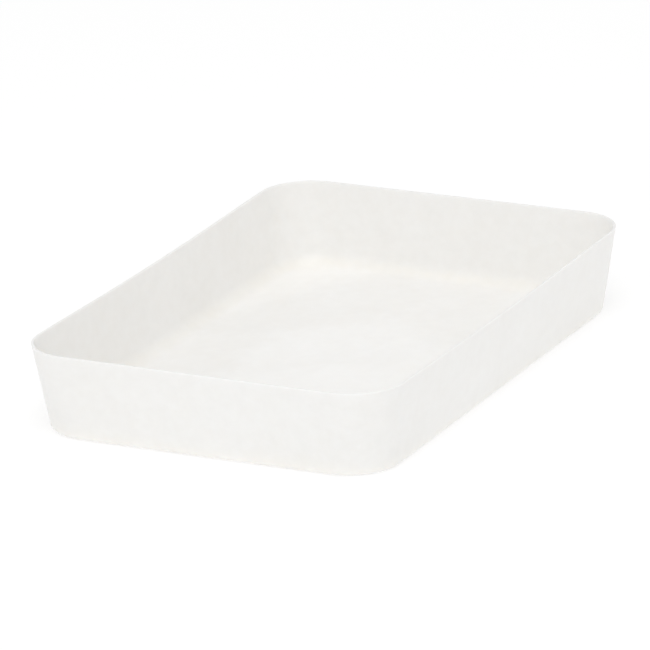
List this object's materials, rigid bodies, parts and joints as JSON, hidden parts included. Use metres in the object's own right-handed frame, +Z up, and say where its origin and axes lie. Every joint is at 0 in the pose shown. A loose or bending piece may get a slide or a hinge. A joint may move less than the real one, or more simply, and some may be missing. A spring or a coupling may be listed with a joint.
{
  "type": "paint roller tray",
  "caption": "Plain shallow rectangular plastic tray with rounded corners, leaning walls and an open top, for holding paint, a liner or a roller.",
  "frame": {"origin": "centre of the tray's base, on the surface that it stands on", "axes": "+Z up out of the open top, +Y along the tray's long side, +X across it"},
  "size_m": [0.2408, 0.3598, 0.0545],
  "materials": {
    "tray_plastic": "natural off-white polypropylene, injection moulded, satin with a faint cloudy flow pattern"
  },
  "bodies": {
    "root": {"tray": "tray_plastic"}
  },
  "joints": []
}
